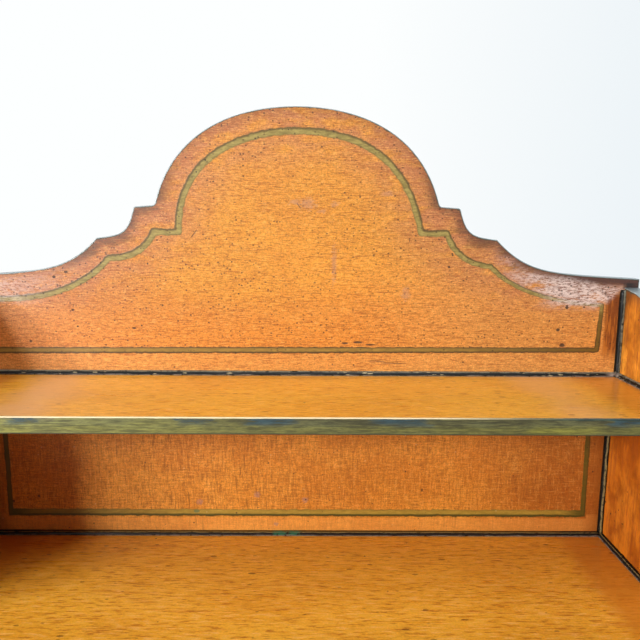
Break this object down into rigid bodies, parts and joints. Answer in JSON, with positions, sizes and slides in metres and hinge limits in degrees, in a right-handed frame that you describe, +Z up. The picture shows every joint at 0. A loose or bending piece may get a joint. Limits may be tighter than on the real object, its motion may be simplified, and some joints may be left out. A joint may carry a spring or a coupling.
{
  "type": "waterfall bookcase",
  "caption": "Waterfall bookcase with a tall shaped crest board, shelves that step forward towards the floor between curved sides, and quarter-round beads in the inner corners.",
  "frame": {"origin": "on the floor, in the middle of the outside box", "axes": "+X to the right as one faces the bookcase, -Y towards the front, +Z up"},
  "size_m": [0.94, 0.369, 1.602],
  "materials": {
    "side_paint": "ochre paint with a brown glaze, satin varnish",
    "crest_paint": "ochre paint with brushed grain and dark specks, satin varnish",
    "panel_paint": "ochre paint over a fine linen weave of cracks, satin varnish",
    "shelf_paint": "ochre paint with soft streaks, front edge green, satin varnish",
    "bead_paint": "dark green gloss paint",
    "plain_wood": "bare wood",
    "steel": "dull steel"
  },
  "bodies": {
    "root": {"left_side": "side_paint", "right_side": "side_paint", "crest_board": "crest_paint", "back_panel": "panel_paint", "top_shelf": "shelf_paint", "second_shelf": "shelf_paint", "third_shelf": "shelf_paint", "fourth_shelf": "shelf_paint", "bottom_shelf": "shelf_paint", "front_apron": "side_paint", "left_glue_block": "plain_wood", "right_glue_block": "plain_wood", "gallery_back_bead": "bead_paint", "gallery_left_corner_bead": "bead_paint", "gallery_right_corner_bead": "bead_paint", "gallery_left_shelf_bead": "bead_paint", "gallery_right_shelf_bead": "bead_paint", "upper_back_bead": "bead_paint", "upper_left_corner_bead": "bead_paint", "upper_right_corner_bead": "bead_paint", "upper_left_shelf_bead": "bead_paint", "upper_right_shelf_bead": "bead_paint", "middle_back_bead": "bead_paint", "middle_left_corner_bead": "bead_paint", "middle_right_corner_bead": "bead_paint", "middle_left_shelf_bead": "bead_paint", "middle_right_shelf_bead": "bead_paint", "lower_back_bead": "bead_paint", "lower_left_corner_bead": "bead_paint", "lower_right_corner_bead": "bead_paint", "lower_left_shelf_bead": "bead_paint", "lower_right_shelf_bead": "bead_paint", "bottom_back_bead": "bead_paint", "bottom_left_corner_bead": "bead_paint", "bottom_right_corner_bead": "bead_paint", "bottom_left_shelf_bead": "bead_paint", "bottom_right_shelf_bead": "bead_paint", "crest_screws": "steel", "panel_pins": "steel"}
  },
  "joints": []
}
